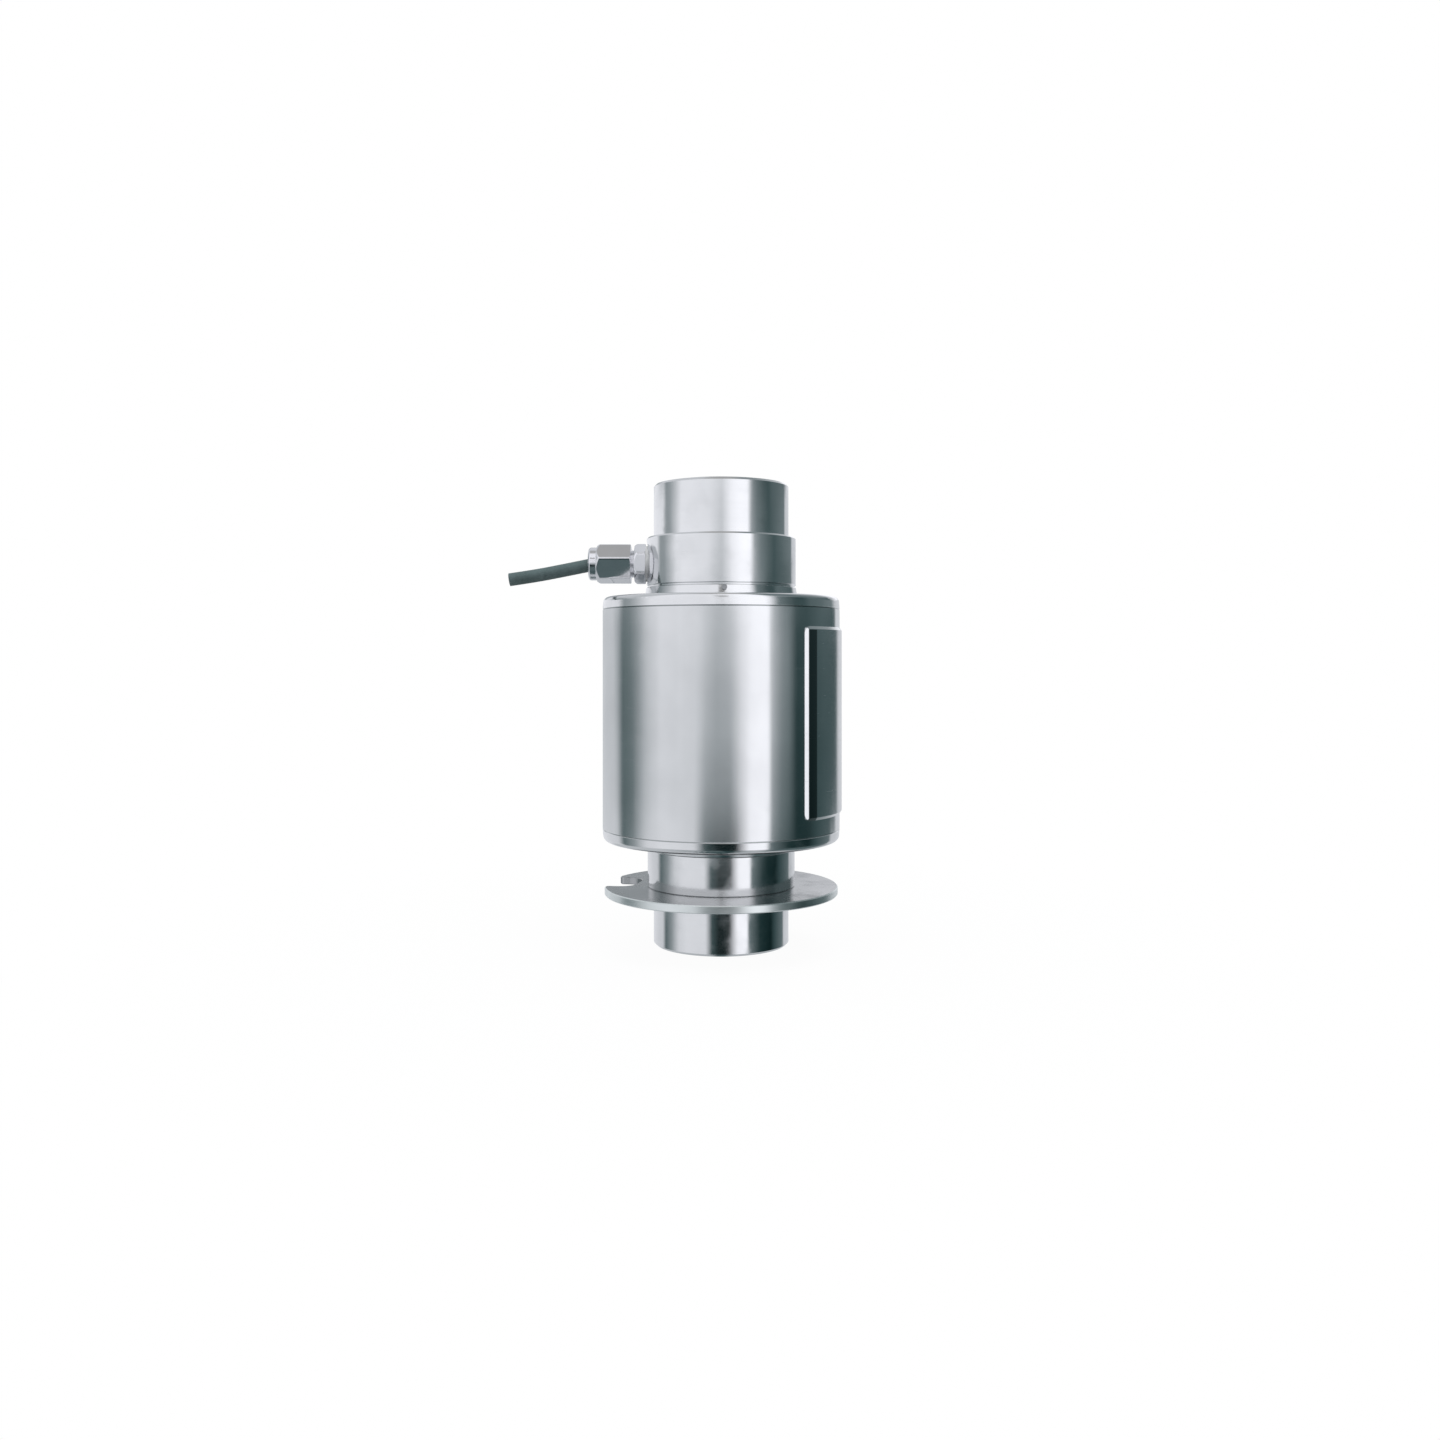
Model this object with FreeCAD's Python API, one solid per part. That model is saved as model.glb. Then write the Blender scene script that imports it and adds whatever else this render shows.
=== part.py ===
import FreeCAD, Part
import math
import os

# Column load cell: a turned steel column in a sealed canister, with an
# anti-rotation plate on its lower end and a cable gland on its upper end.
# Millimetres, +Z up. The origin is the pole of the lower spherical load face,
# on the column's axis. The cable leaves towards -X and +Y is the back.

V = FreeCAD.Vector

# Load column, from the lower load face upwards, turned between centres
load_face_radius = 160.0
stub_d = 57.0
stub_edge = 1.0
centre_hole_d = 6.3
centre_hole_depth = 12.0
centre_cone_d = 13.2
lower_stub_length = 24.3
body_d = 62.2
lower_shank_length = 15.7
upper_shank_d = 63.1
upper_shank_length = 20.5
upper_shank_edge = 0.7
upper_stub_length = 22.2
shank_foot_edge = 0.5

# Measuring section inside the canister
waist_d = 47.0
waist_fillet = 3.0
head_depth = 12.6
flats_across = 40.0
flats_length = 50.0
flats_runout = 2.8

# Canister: one tube between two turned caps
canister_d = 100.0
shell_wall = 2.2
shell_length = 92.0
lower_cap_thickness = 5.0
upper_cap_thickness = 5.1
cap_edge = 2.2
cap_taper = 0.35
lower_lip_height = 3.7
upper_lip_height = 4.2
lip_end_wall = 0.5
lip_flare = 0.65
lip_edge = 0.35
lip_gap = 0.5
spigot_height = 3.0
spigot_wall = 3.0
membrane_inner_d = 74.0
membrane_thickness = 1.6
seam_bevel = 0.3

# Anti-rotation plate and the snap ring that holds it
plate_d = 98.4
plate_thickness = 3.3
plate_edge = 0.4
notch_direction = 170.0
notch_width = 23.0
notch_depth = 13.6
notch_corner = 7.0
notch_mouth = 2.0
ring_thickness = 1.75
ring_d = 61.6
ring_groove_depth = 1.5
ring_gap_angle = 24.0
ring_ear_d = 4.8
ring_ear_hole = 1.8

# Nameplate, a bare formed plate on the canister's right-hand side
nameplate_start = -48.7
nameplate_arc = 76.0
nameplate_base = 6.7
nameplate_height = 77.5
nameplate_thickness = 0.85
nameplate_rim = 0.05
nameplate_end_bevel = 1.55
nameplate_side_bevel = 1.2
nameplate_corner = 3.0

# Cable gland
gland_height = 9.6
thread_d = 12.0
gland_hex = 15.0
spot_face_d = 20.0
spot_face_depth = 0.85
gland_ring_thickness = 1.2
gland_ring_d = 15.0
gland_hex_length = 4.7
gland_thread_length = 7.6
gland_neck_length = 10.6
gland_bore_d = 6.4
nut_standoff = 1.5
nut_length = 14.4
nut_turn = 13.4
nut_nose_d = 13.9
nut_nose_length = 3.5
nut_nose_edge = 0.7
nut_end_slope = 1.4
nut_shoulder = 3.1
nut_exit_d = 7.6
seal_d = 9.4
seal_length = 7.4
insert_length = 1.8

# Cable: four cores in a jacket, cut square where the picture shows its end
cable_d = 5.5
cable_bend = 27.5
cable_drop = 11.5
cable_points = [(-67.0, -2.2), (-79.0, -4.55), (-89.7, -6.1)]
core_d = 1.2
core_pitch = 1.5
core_bend = 3.5
core_start = 22.3

# Wire passage from the gland down to the measuring section
pilot_bore_d = 8.0
pilot_bore_end = 11.0
gland_bore_end = 20.0
passage_d = 5.2
passage_top = 15.0
passage_foot = 28.3

# Terminal board below the upper head
board_inner_d = 50.6
board_d = 82.0
board_thickness = 1.6
spacer_length = 5.0
spacer_d = 4.2
screw_d = 2.5
screw_head_d = 4.2
screw_head_height = 1.6
screw_slot = 0.6
screw_bite = 5.0
screw_count = 3
lug_length = 1.6
lug_width = 1.3
lug_cover = 0.65
lug_first = 35.0
lug_second = 38.0
resistor_size = (3.2, 1.6, 0.6)
resistor_circle_d = 66.0
resistor_angles = (30.0, 52.0, 308.0, 330.0)

# Strain gauges and their leads
gauge_height = 14.0
gauge_width = 9.0
gauge_thickness = 0.15
lead_d = 0.4
lead_pitch = 4.0
lead_margin = 6.0
lead_end_d = 54.6

# Plug of the gas-filling hole in the upper neck
fill_plug_d = 1.5
fill_plug_head_d = 2.2
fill_plug_head = 0.6
fill_plug_height = 2.9
fill_plug_side = 2.3
fill_hole_depth = 1.6

# Clearances
turned_gap = 0.05
bore_gap = 0.1

# Radii and levels that several pieces share
stub_r = stub_d / 2
body_r = body_d / 2
upper_shank_r = upper_shank_d / 2
canister_r = canister_d / 2
shell_inner_r = canister_r - shell_wall
waist_r = waist_d / 2
groove_r = stub_r - ring_groove_depth
notch_floor = plate_d / 2 - notch_depth
screw_circle_d = body_d - spacer_d - bore_gap * 2
lead_rise = (flats_length - gauge_height) / 2 - lead_margin


def dome_rise(radius):
    return load_face_radius - math.sqrt(load_face_radius ** 2 - radius ** 2)


rim_z = dome_rise(stub_r)
plate_top_z = rim_z + lower_stub_length
plate_z = plate_top_z - plate_thickness
ring_z = plate_z - ring_thickness
lower_lip_z = plate_top_z + lower_shank_length
lower_cap_z = lower_lip_z + lower_lip_height
shell_z = lower_cap_z + lower_cap_thickness
shell_top_z = shell_z + shell_length
upper_cap_top_z = shell_top_z + upper_cap_thickness
upper_lip_top_z = upper_cap_top_z + upper_lip_height
upper_shank_z = upper_lip_top_z + lip_gap
upper_shoulder_z = upper_shank_z + upper_shank_length
upper_rim_z = upper_shoulder_z + upper_stub_length
top_z = upper_rim_z + rim_z
lower_head_z = shell_z + head_depth
upper_head_z = shell_top_z - head_depth
middle_z = (lower_head_z + upper_head_z) / 2
gland_z = upper_shank_z + gland_height
board_top_z = upper_head_z - spacer_length
board_z = board_top_z - board_thickness

# Stations along the gland, measured outwards from the column's axis
spot_face_u = upper_shank_r - spot_face_depth
gland_seat_u = spot_face_u + gland_ring_thickness
gland_hex_end_u = gland_seat_u + gland_hex_length
gland_neck_end_u = gland_hex_end_u + gland_neck_length
nut_start_u = gland_hex_end_u + nut_standoff
nut_hex_end_u = nut_start_u + nut_length
nut_end_u = nut_hex_end_u + nut_nose_length
insert_end_u = nut_hex_end_u - nut_shoulder
insert_u = insert_end_u - insert_length
seal_u = insert_u - seal_length


def rounded_edges(corners, closed):
    """Lines through the corners, each given as (point, radius), with tangent arcs."""
    count = len(corners)
    spans = []
    for i, (point, radius) in enumerate(corners):
        is_end = not closed and i in (0, count - 1)
        if radius <= 0 or is_end:
            spans.append((point, point, None))
            continue
        back = (corners[i - 1][0] - point).normalize()
        ahead = (corners[(i + 1) % count][0] - point).normalize()
        half = back.getAngle(ahead) / 2
        reach = radius / math.tan(half)
        inward = (back + ahead).normalize()
        middle = point + inward * (radius / math.sin(half) - radius)
        spans.append((point + back * reach, point + ahead * reach, middle))
    edges = []
    last = count if closed else count - 1
    for i, (start, end, middle) in enumerate(spans):
        if middle is not None:
            edges.append(Part.Arc(start, middle, end).toShape())
        following = spans[(i + 1) % count][0]
        if i < last and end.distanceToPoint(following) > 1e-6:
            edges.append(Part.LineSegment(end, following).toShape())
    return edges


def turned(outline, angle=360.0):
    """Solid of revolution about Z; the outline is a list of (radius, height, rounding)."""
    corners = [(V(p[0], 0, p[1]), p[2] if len(p) > 2 else 0.0) for p in outline]
    face = Part.Face(Part.Wire(rounded_edges(corners, True)))
    return face.revolve(V(0, 0, 0), V(0, 0, 1), angle)


def tube(route, diameter):
    """Round bar along lines and tangent arcs; the route is a list of (point, radius)."""
    path = Part.Wire(rounded_edges(route, False))
    heading = route[1][0] - route[0][0]
    section = Part.Wire(Part.makeCircle(diameter / 2, route[0][0], heading))
    return path.makePipeShell([section], True, False)


def ring(outer_d, inner_d, length, z=0.0):
    outer = Part.makeCylinder(outer_d / 2, length, V(0, 0, z))
    return outer.cut(Part.makeCylinder(inner_d / 2, length, V(0, 0, z)))


def turn_about_axis(shape, angle):
    copy = shape.copy()
    copy.rotate(V(0, 0, 0), V(0, 0, 1), angle)
    return copy


def on_gland_axis(shape):
    """Puts a shape drawn along +Z, with +X up, on the gland's axis towards -X."""
    shape.rotate(V(0, 0, 0), V(0, 1, 0), -90)
    shape.translate(V(0, 0, gland_z))
    return shape


def screw_angles():
    return [i * 360.0 / screw_count for i in range(screw_count)]


# Load column: one turned bar with spherical ends, a waist with four milled
# flats, the gland's bore and a slanted passage for the cores.
def load_end_edges():
    """Lower load face in section: lathe centre with a 60 degree mouth, then the sphere."""
    hole_r = centre_hole_d / 2
    cone_r = centre_cone_d / 2
    edge_r = stub_r - stub_edge
    slope = math.tan(math.radians(60))
    mouth = V(cone_r, 0, dome_rise(cone_r))
    throat = V(hole_r, 0, mouth.z + (cone_r - hole_r) * slope)
    floor = V(hole_r, 0, centre_hole_depth)
    tip = V(0, 0, centre_hole_depth + hole_r / slope)
    between = (cone_r + edge_r) / 2
    lines = [(tip, floor), (floor, throat), (throat, mouth)]
    sphere = Part.Arc(mouth, V(between, 0, dome_rise(between)), V(edge_r, 0, dome_rise(edge_r)))
    return [Part.LineSegment(a, b).toShape() for a, b in lines] + [sphere.toShape()]


def column_outline():
    edge_r = stub_r - stub_edge
    edge_z = dome_rise(edge_r)
    ring_room = turned_gap
    points = [
        (edge_r, edge_z),
        (stub_r, edge_z + stub_edge),
        (stub_r, ring_z - ring_room),
        (groove_r, ring_z - ring_room),
        (groove_r, plate_z + ring_room),
        (stub_r, plate_z + ring_room),
        (stub_r, plate_top_z),
        (body_r - seam_bevel, plate_top_z),
        (body_r, plate_top_z + seam_bevel),
        (body_r, lower_head_z),
        (waist_r, lower_head_z, waist_fillet),
        (waist_r, upper_head_z, waist_fillet),
        (body_r, upper_head_z),
        (body_r, upper_shank_z),
        (upper_shank_r - shank_foot_edge, upper_shank_z),
        (upper_shank_r, upper_shank_z + shank_foot_edge),
        (upper_shank_r, upper_shoulder_z - upper_shank_edge),
        (upper_shank_r - upper_shank_edge, upper_shoulder_z),
        (stub_r, upper_shoulder_z),
        (stub_r, top_z - edge_z - stub_edge),
        (edge_r, top_z - edge_z),
    ]
    corners = [(V(p[0], 0, p[1]), p[2] if len(p) > 2 else 0.0) for p in points]
    side = rounded_edges(corners, False)
    low_end = load_end_edges()
    upside_down = [edge.mirror(V(0, 0, top_z / 2), V(0, 0, 1)) for edge in low_end]
    tip = low_end[0].Vertexes[0].Point
    axis = Part.LineSegment(V(0, 0, top_z - tip.z), tip).toShape()
    return Part.Wire(Part.__sortEdges__(low_end + side + upside_down + [axis]))


def flat_cutter():
    """Block that mills one flat on the +X side, with rounded run-outs at its ends."""
    depth = waist_r - flats_across / 2
    start = flats_across / 2
    low = middle_z - flats_length / 2
    high = middle_z + flats_length / 2
    corners = [
        (V(start, -waist_r, low), flats_runout),
        (V(start, -waist_r, high), flats_runout),
        (V(start + 2 * depth, -waist_r, high), 0.0),
        (V(start + 2 * depth, -waist_r, low), 0.0),
    ]
    side = Part.Face(Part.Wire(rounded_edges(corners, True)))
    return side.extrude(V(0, waist_d, 0))


def passage_line():
    """Top and lower mouth of the slanted wire passage."""
    top = V(-passage_top, 0, gland_z)
    foot = V(-passage_foot, 0, upper_head_z)
    return top, foot


def make_column_body():
    body = Part.Face(column_outline()).revolve(V(0, 0, 0), V(0, 0, 1), 360)
    for i in range(4):
        body = body.cut(turn_about_axis(flat_cutter(), 90.0 * i))
    spot_face = Part.makeCylinder(spot_face_d / 2, spot_face_d, V(0, 0, spot_face_u))
    thread_bore = Part.makeCylinder(
        thread_d / 2 + turned_gap, spot_face_u - gland_bore_end, V(0, 0, gland_bore_end)
    )
    pilot_bore = Part.makeCylinder(
        pilot_bore_d / 2, gland_bore_end - pilot_bore_end, V(0, 0, pilot_bore_end)
    )
    for bore in (spot_face, thread_bore, pilot_bore):
        body = body.cut(on_gland_axis(bore))
    top, foot = passage_line()
    down = (foot - top).normalize()
    run = top.distanceToPoint(foot) + waist_fillet * 2
    body = body.cut(Part.makeCylinder(passage_d / 2, run, top, down))
    for angle in screw_angles():
        hole = Part.makeCylinder(
            screw_d / 2 + turned_gap,
            screw_bite + screw_d,
            V(screw_circle_d / 2, 0, upper_head_z),
        )
        body = body.cut(turn_about_axis(hole, angle))
    return body.cut(fill_bore())


# Canister: tube and two caps with thin necks that are welded to the column.
def make_outer_shell():
    return turned([
        (shell_inner_r, shell_z),
        (canister_r - seam_bevel, shell_z),
        (canister_r, shell_z + seam_bevel),
        (canister_r, shell_top_z - seam_bevel),
        (canister_r - seam_bevel, shell_top_z),
        (shell_inner_r, shell_top_z),
    ])


def cap_outline(thickness, lip_height):
    """Cap seen with its seam to the shell at height 0 and its neck pointing up."""
    bore_r = body_r + turned_gap
    spigot_r = shell_inner_r - turned_gap
    lip_end_r = bore_r + lip_end_wall
    lip_foot_r = lip_end_r + lip_flare
    lip_end = thickness + lip_height
    floor = thickness - membrane_thickness
    return [
        (bore_r, -spigot_height),
        (membrane_inner_d / 2, -spigot_height),
        (membrane_inner_d / 2, floor),
        (spigot_r - spigot_wall, floor),
        (spigot_r - spigot_wall, -spigot_height),
        (spigot_r, -spigot_height),
        (spigot_r, 0.0),
        (canister_r - seam_bevel, 0.0),
        (canister_r, seam_bevel),
        (canister_r - cap_taper, thickness, cap_edge),
        (lip_foot_r, thickness, lip_flare),
        (lip_end_r, lip_end - lip_edge),
        (lip_end_r - lip_edge, lip_end),
        (bore_r, lip_end),
    ]


def make_upper_cap():
    outline = cap_outline(upper_cap_thickness, upper_lip_height)
    placed = [(p[0], shell_top_z + p[1]) + tuple(p[2:]) for p in outline]
    return turned(placed).cut(fill_bore())


def make_lower_cap():
    outline = cap_outline(lower_cap_thickness, lower_lip_height)
    placed = [(p[0], shell_z - p[1]) + tuple(p[2:]) for p in outline]
    return turned(placed)


# Anti-rotation plate: disc on the lower stub with one notch in its rim.
def notch_cutter():
    half = notch_width / 2
    corners = [
        (V(notch_floor, -half, plate_z), notch_corner),
        (V(plate_d, -half, plate_z), 0.0),
        (V(plate_d, half, plate_z), 0.0),
        (V(notch_floor, half, plate_z), notch_corner),
    ]
    outline = Part.Face(Part.Wire(rounded_edges(corners, True)))
    return outline.extrude(V(0, 0, plate_thickness))


def make_antirotation_plate():
    bore_d = stub_d + bore_gap * 2
    plate = ring(plate_d, bore_d, plate_thickness, plate_z).cut(notch_cutter())
    mouth_y = notch_width / 2
    mouth_x = math.sqrt((plate_d / 2) ** 2 - mouth_y ** 2)
    mouths = []
    for edge in plate.Edges:
        middle = edge.BoundBox.Center
        off_corner = math.hypot(middle.x - mouth_x, abs(middle.y) - mouth_y)
        if edge.BoundBox.ZLength > plate_thickness / 2 and off_corner < plate_edge:
            mouths.append(edge)
    plate = plate.makeFillet(notch_mouth, mouths)
    outline = []
    for edge in plate.Edges:
        is_level = edge.BoundBox.ZLength < plate_edge
        if is_level and edge.BoundBox.Center.Length + edge.BoundBox.XLength > bore_d:
            outline.append(edge)
    plate = plate.makeChamfer(plate_edge, outline)
    return turn_about_axis(plate, notch_direction)


def make_retaining_ring():
    """Open snap ring with two eared ends, in the groove under the plate."""
    band = ring(ring_d, (groove_r + turned_gap) * 2, ring_thickness, ring_z)
    ears = []
    ear_r = ring_d / 2 - ring_ear_d / 4
    for side in (-1, 1):
        ear = Part.makeCylinder(ring_ear_d / 2, ring_thickness, V(ear_r, 0, ring_z))
        hole = Part.makeCylinder(ring_ear_hole / 2, ring_thickness, V(ear_r, 0, ring_z))
        offset = ring_gap_angle / 2 + math.degrees(ring_ear_d / 2 / ear_r)
        ears.append((turn_about_axis(ear, side * offset), turn_about_axis(hole, side * offset)))
    half = math.radians(ring_gap_angle / 2)
    reach = plate_d
    gap = Part.Face(Part.makePolygon([
        V(0, 0, ring_z),
        V(reach * math.cos(half), -reach * math.sin(half), ring_z),
        V(reach * math.cos(half), reach * math.sin(half), ring_z),
        V(0, 0, ring_z),
    ])).extrude(V(0, 0, ring_thickness))
    inner = Part.makeCylinder(stub_r + bore_gap, ring_thickness, V(0, 0, ring_z))
    for ear, hole in ears:
        band = band.fuse(ear.cut(inner))
    band = band.cut(gap)
    for ear, hole in ears:
        band = band.cut(hole)
    return band.removeSplitter()


# Nameplate: bent sheet with bevelled borders, its middle facing right.
def make_nameplate():
    inner_r = canister_r + turned_gap
    outer_r = inner_r + nameplate_thickness
    rim_r = inner_r + nameplate_rim
    low = shell_z + nameplate_base
    high = low + nameplate_height
    sweep = math.degrees(nameplate_arc / outer_r)
    plate = turned([
        (inner_r, low),
        (rim_r, low),
        (outer_r, low + nameplate_side_bevel),
        (outer_r, high - nameplate_side_bevel),
        (rim_r, high),
        (inner_r, high),
    ], sweep)
    bevel_angle = nameplate_end_bevel / outer_r
    start = V(rim_r, 0, low)
    end = V(outer_r * math.cos(bevel_angle), outer_r * math.sin(bevel_angle), low)
    along = (end - start).normalize()
    away = V(along.y, -along.x, 0)
    first = start - along * nameplate_end_bevel
    last = end + along * nameplate_end_bevel
    clear = away * nameplate_end_bevel
    corners = [first, last, last + clear, first + clear]
    wedge = Part.Face(Part.makePolygon(corners + [first])).extrude(V(0, 0, nameplate_height))
    round_r = nameplate_corner
    base_r = canister_r - nameplate_thickness
    depth = nameplate_thickness * 3
    block = Part.makeBox(depth, round_r, round_r, V(base_r, 0, low))
    pin = Part.makeCylinder(round_r, depth, V(base_r, round_r, low + round_r), V(1, 0, 0))
    corner = block.cut(pin)
    middle = V(0, 0, (low + high) / 2)
    tools = [wedge, corner, corner.mirror(middle, V(0, 0, 1))]
    half = math.radians(sweep / 2)
    mirror_normal = V(-math.sin(half), math.cos(half), 0)
    for tool in tools:
        plate = plate.cut(tool)
        plate = plate.cut(tool.mirror(V(0, 0, 0), mirror_normal))
    return turn_about_axis(plate, nameplate_start)


# Cable gland: body, sealing ring, cap nut, rubber seal and thrust ring.
def chamfered_hex(across, start, end, start_slope, end_slope, corner_turn):
    corner_r = across / 2 / math.cos(math.radians(30))
    points = []
    for i in range(7):
        angle = math.radians(60 * i + corner_turn)
        points.append(V(corner_r * math.cos(angle), corner_r * math.sin(angle), start))
    prism = Part.Face(Part.makePolygon(points)).extrude(V(0, 0, end - start))
    skin = turned([
        (0, start),
        (corner_r - start_slope, start),
        (corner_r, start + start_slope / 2),
        (corner_r, end - end_slope),
        (corner_r - end_slope * 0.8, end),
        (0, end),
    ])
    return prism.common(skin)


def make_gland_body():
    edge = thread_d / 20
    thread = Part.makeCylinder(
        thread_d / 2, gland_thread_length, V(0, 0, gland_seat_u - gland_thread_length)
    )
    hexagon = chamfered_hex(gland_hex, gland_seat_u, gland_hex_end_u, edge, edge * 2, 0.0)
    neck = Part.makeCylinder(
        thread_d / 2 - turned_gap * 2, gland_neck_length, V(0, 0, gland_hex_end_u)
    )
    length = gland_neck_end_u - gland_seat_u + gland_thread_length
    bore = Part.makeCylinder(
        gland_bore_d / 2, length, V(0, 0, gland_seat_u - gland_thread_length)
    )
    seat = Part.makeCylinder(
        seal_d / 2 + turned_gap, gland_neck_end_u - seal_u, V(0, 0, seal_u)
    )
    body = thread.fuse(hexagon).fuse(neck).cut(bore).cut(seat)
    return on_gland_axis(body.removeSplitter())


def make_gland_o_ring():
    band = ring(gland_ring_d, thread_d + turned_gap * 4, gland_ring_thickness, spot_face_u)
    return on_gland_axis(band)


def make_gland_cap_nut():
    corner_turn = -(90 - nut_turn)
    body = chamfered_hex(
        gland_hex, nut_start_u, nut_hex_end_u, thread_d / 20, nut_end_slope, corner_turn
    )
    nose = turned([
        (0, nut_hex_end_u),
        (nut_nose_d / 2, nut_hex_end_u),
        (nut_nose_d / 2, nut_end_u - nut_nose_edge),
        (nut_nose_d / 2 - nut_nose_edge, nut_end_u),
        (0, nut_end_u),
    ])
    thread_bore = Part.makeCylinder(
        thread_d / 2, insert_end_u - nut_start_u, V(0, 0, nut_start_u)
    )
    exit_bore = Part.makeCylinder(
        nut_exit_d / 2, nut_end_u - insert_end_u, V(0, 0, insert_end_u)
    )
    nut = body.fuse(nose).cut(thread_bore).cut(exit_bore)
    return on_gland_axis(nut)


def make_gland_seal():
    return on_gland_axis(ring(seal_d, cable_d + turned_gap * 2, seal_length, seal_u))


def make_gland_clamp_insert():
    outer_d = thread_d - bore_gap * 2
    return on_gland_axis(ring(outer_d, cable_d + bore_gap * 4, insert_length, insert_u))


# Cable: the free stretch, the stretch inside the gland and the four cores.
def cable_exit():
    """Where the cable leaves the nut, after a short bend inside its mouth."""
    turn = math.radians(cable_drop)
    bend_x = -(nut_end_u - cable_bend * math.sin(turn))
    exit_z = gland_z - cable_bend * (1 - math.cos(turn))
    return V(-nut_end_u, 0, exit_z), V(-math.cos(turn), 0, -math.sin(turn)), bend_x


def make_cable_lead_in():
    exit_point, heading, bend_x = cable_exit()
    turn = math.radians(cable_drop)
    corner = V(bend_x - cable_bend * math.tan(turn / 2), 0, gland_z)
    route = [(V(-core_start, 0, gland_z), 0.0), (corner, cable_bend), (exit_point, 0.0)]
    return tube(route, cable_d)


def cable_route():
    exit_point, heading, bend_x = cable_exit()
    points = [exit_point] + [V(x, 0, exit_point.z + drop) for x, drop in cable_points]
    points[1] = exit_point + heading * ((exit_point.x - points[1].x) / -heading.x)
    return points


def route_radii(points):
    """Arc radius at each inner point: 0.45 of the shorter run over the half turn's tangent."""
    radii = [0.0]
    for i in range(1, len(points) - 1):
        back = points[i] - points[i - 1]
        ahead = points[i + 1] - points[i]
        shorter = min(back.Length, ahead.Length)
        radii.append(0.45 * shorter / math.tan(back.getAngle(ahead) / 2))
    return radii + [0.0]


def make_cable():
    points = cable_route()
    return tube(list(zip(points, route_radii(points))), cable_d)


def bundle_route(offset):
    """Route of a core that lies this far outside the middle of the bundle's bends."""
    top, foot = passage_line()
    down = (foot - top).normalize()
    level = board_top_z + lug_cover + core_d / 2 + core_pitch / 2
    low = foot + down * ((foot.z - level) / -down.z)
    middle = [V(-core_start, 0, top.z), top, low, V(-lug_first, 0, level)]
    shifted = []
    for i, point in enumerate(middle):
        before = middle[max(i - 1, 0)]
        after = middle[min(i + 1, len(middle) - 1)]
        back = (point - before) if i > 0 else (after - point)
        ahead = (after - point) if i < len(middle) - 1 else back
        side_a = V(-back.z, 0, back.x).normalize()
        side_b = V(-ahead.z, 0, ahead.x).normalize()
        reach = offset / (1 + side_a.dot(side_b))
        shifted.append(point + (side_a + side_b) * reach)
    return shifted


def make_core(offset, side, end_u):
    points = bundle_route(offset)
    points[-1].x = -end_u
    for point in points:
        point.y = side
    bend = core_bend + offset
    return tube(list(zip(points, (0.0, bend, bend, 0.0))), core_d)


# Terminal board: ring under the upper head, on spacers, with its parts.
def make_terminal_board():
    board = ring(board_d, board_inner_d, board_thickness, board_z)
    for angle in screw_angles():
        hole = Part.makeCylinder(
            screw_d / 2 + bore_gap, board_thickness, V(screw_circle_d / 2, 0, board_z)
        )
        board = board.cut(turn_about_axis(hole, angle))
    return board


def make_board_spacers():
    spacer = ring(spacer_d, screw_d + bore_gap * 2, spacer_length, board_top_z)
    spacer.translate(V(screw_circle_d / 2, 0, 0))
    return Part.makeCompound([turn_about_axis(spacer, angle) for angle in screw_angles()])


def make_board_screws():
    length = board_thickness + spacer_length + screw_bite
    head = Part.makeCylinder(
        screw_head_d / 2, screw_head_height, V(0, 0, board_z - screw_head_height)
    )
    slot = Part.makeBox(
        screw_head_d, screw_slot, screw_slot,
        V(-screw_head_d / 2, -screw_slot / 2, board_z - screw_head_height),
    )
    screw = head.cut(slot).fuse(Part.makeCylinder(screw_d / 2, length, V(0, 0, board_z)))
    screw.translate(V(screw_circle_d / 2, 0, 0))
    return Part.makeCompound([turn_about_axis(screw, angle) for angle in screw_angles()])


def make_solder_lugs():
    lugs = []
    for offset, end_u in ((core_pitch / 2, lug_first), (-core_pitch / 2, lug_second)):
        axis_z = bundle_route(offset)[-1].z
        height = axis_z + lug_cover - board_top_z
        for side in (-1, 1):
            y = side * core_pitch / 2 - lug_width / 2
            corner = V(-end_u - lug_length, y, board_top_z)
            lugs.append(Part.makeBox(lug_length, lug_width, height, corner))
    return Part.makeCompound(lugs)


def make_trim_resistors():
    length, width, height = resistor_size
    chip = Part.makeBox(
        length, width, height,
        V(resistor_circle_d / 2 - length / 2, -width / 2, board_top_z),
    )
    return Part.makeCompound([turn_about_axis(chip, angle) for angle in resistor_angles])


# Strain gauges: one foil patch on each flat, with two leads up to the board.
def make_gauge(angle):
    patch = Part.makeBox(
        gauge_thickness, gauge_width, gauge_height,
        V(flats_across / 2, -gauge_width / 2, middle_z - gauge_height / 2),
    )
    return turn_about_axis(patch, angle)


def make_gauge_leads():
    lead_r = flats_across / 2 + lead_d / 2 + turned_gap
    low = middle_z + gauge_height / 2
    leads = []
    for side in (-1, 1):
        y = side * lead_pitch / 2
        route = [
            (V(lead_r, y, low), 0.0),
            (V(lead_r, y, low + lead_rise), lead_pitch),
            (V(lead_end_d / 2, y, board_z), 0.0),
        ]
        leads.append(tube(route, lead_d))
    trim = Part.makeBox(board_d, board_d, board_thickness * 2, V(-board_d / 2, -board_d / 2, board_z))
    placed = []
    for i in range(4):
        for lead in leads:
            placed.append(turn_about_axis(lead.cut(trim), 90.0 * i))
    return Part.makeCompound(placed)


# Plug of the filling hole, in the upper cap's neck at the front.
def fill_axis():
    angle = math.radians(-90 + fill_plug_side)
    return V(math.cos(angle), math.sin(angle), 0)


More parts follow.
